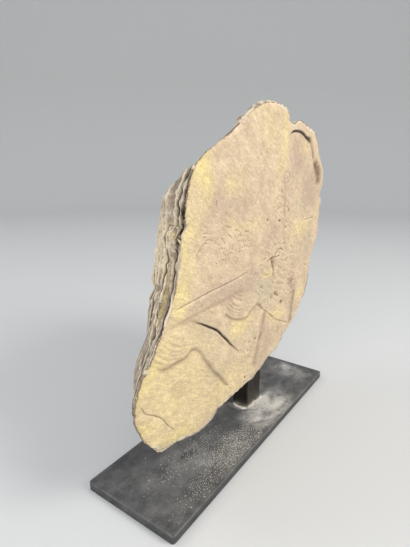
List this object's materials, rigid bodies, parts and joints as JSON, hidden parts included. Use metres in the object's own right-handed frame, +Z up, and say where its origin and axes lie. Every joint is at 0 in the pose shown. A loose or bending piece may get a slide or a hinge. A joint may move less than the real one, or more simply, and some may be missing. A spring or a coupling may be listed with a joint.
{
  "type": "stone relief panel on a stand",
  "caption": "Broken sandstone slab carved in low relief, standing upright on a short post and a flat base plate.",
  "frame": {"origin": "centre of the base plate's underside", "axes": "+X along the base plate's length, to the right as the carved face is seen; the carved face looks to -Y; +Z up"},
  "size_m": [0.7325, 0.2, 0.6947],
  "materials": {
    "sandstone": "matte",
    "dark_post": "satin",
    "blackened_plate": "satin"
  },
  "bodies": {
    "root": {"relief_slab": "sandstone", "post": "dark_post", "base_plate": "blackened_plate"}
  },
  "joints": []
}
